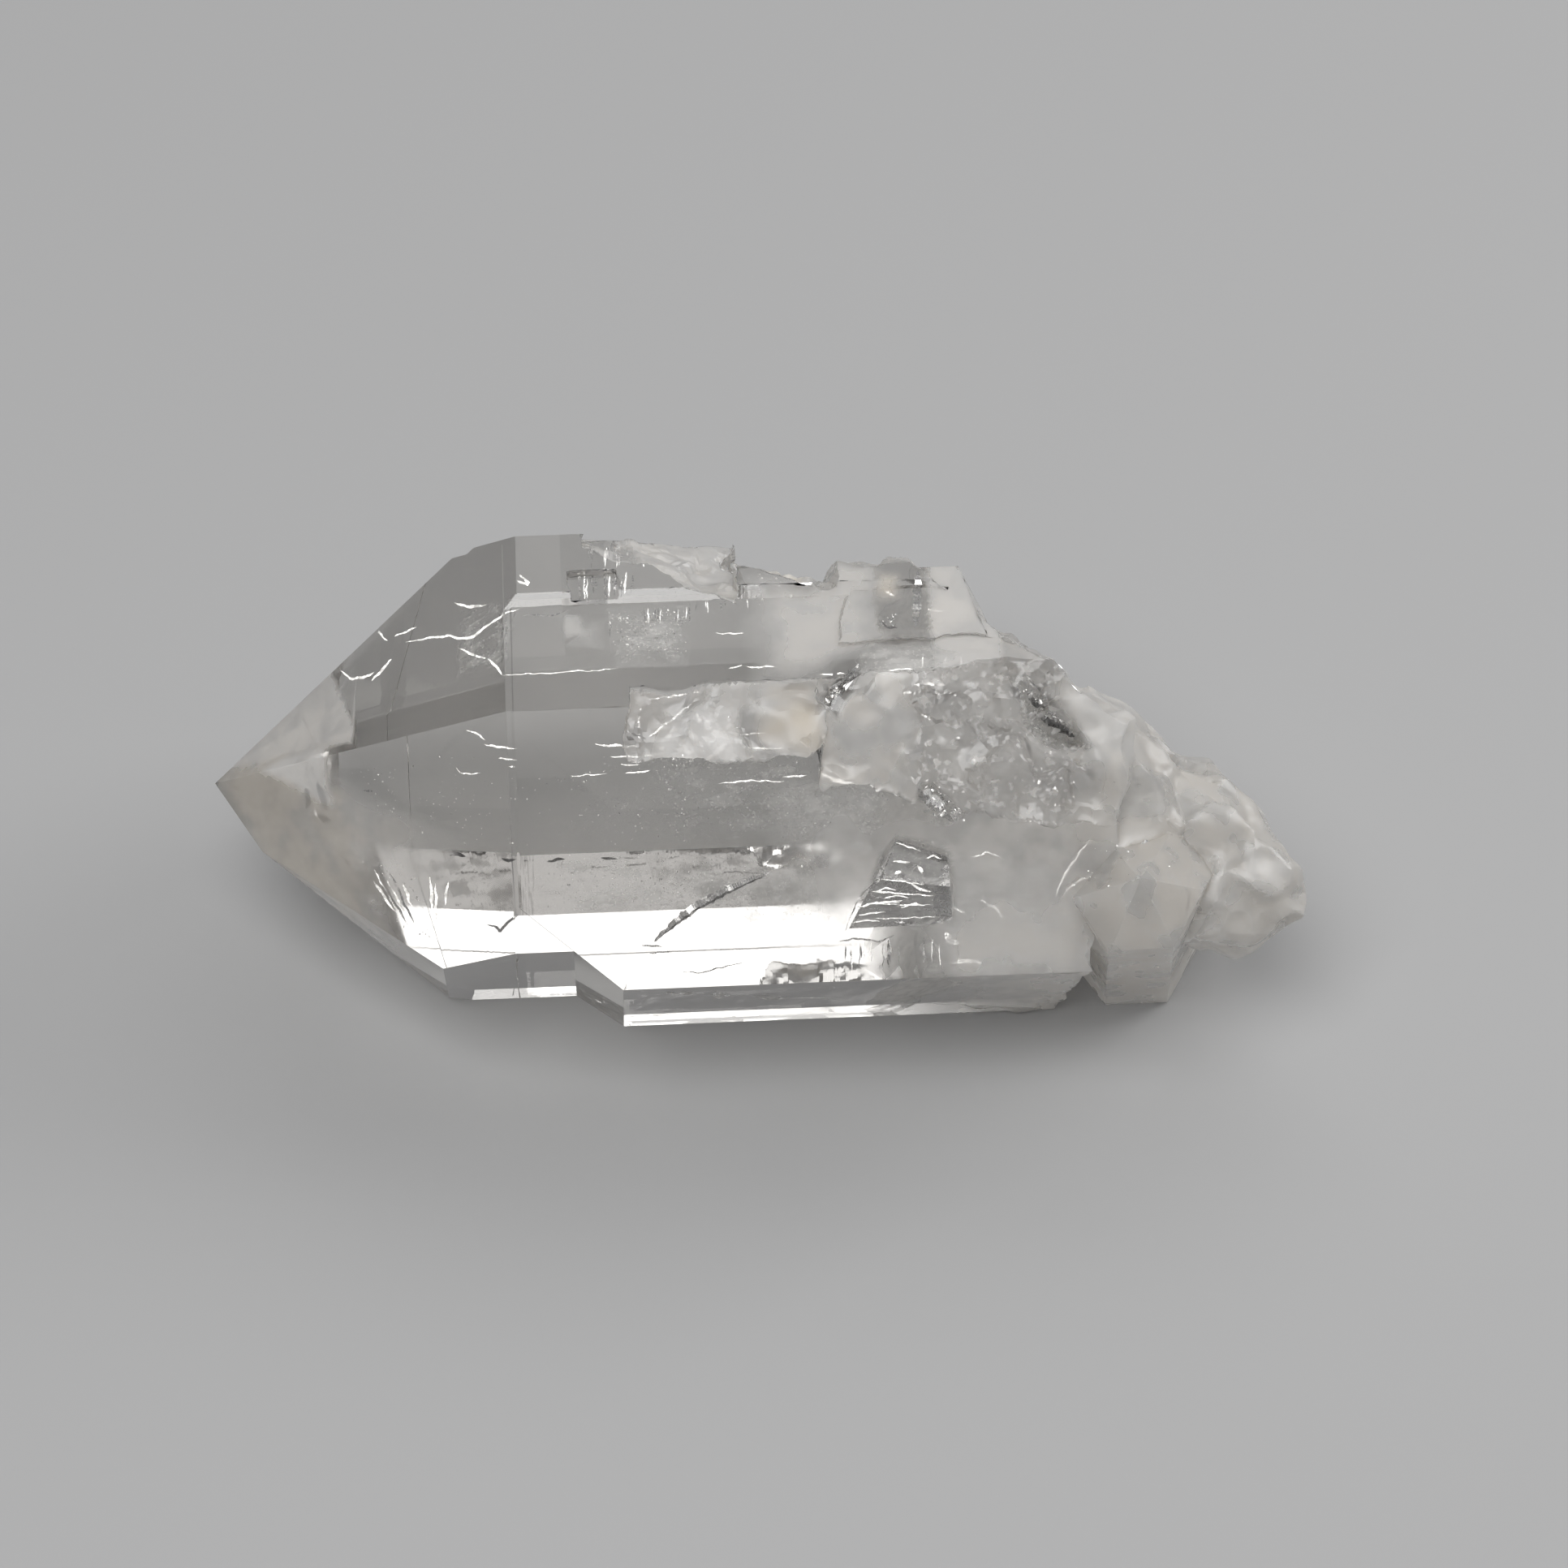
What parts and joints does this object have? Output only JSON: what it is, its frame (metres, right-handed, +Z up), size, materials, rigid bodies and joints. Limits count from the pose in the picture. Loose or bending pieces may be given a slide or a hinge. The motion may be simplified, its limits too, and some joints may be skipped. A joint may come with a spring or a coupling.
{
  "type": "himalayan quartz crystal",
  "caption": "Natural quartz crystal with a pointed end, grown together from parallel crystals, with a small side crystal and a broken milky root; lies on a flat prism face",
  "frame": {"origin": "Centre of the bounding box's bottom, on the surface that the crystal lies on, under the prism face that it rests on.", "axes": "+X runs along the crystal's c axis from the pointed end to the broken root, -Y is the front with the side crystal, +Z is up."},
  "size_m": [0.069, 0.0338, 0.0281],
  "materials": {
    "milky_quartz": "smooth clear growth faces, milky and uneven at the broken root"
  },
  "bodies": {
    "root": {"quartz_crystal": "milky_quartz"}
  },
  "joints": []
}
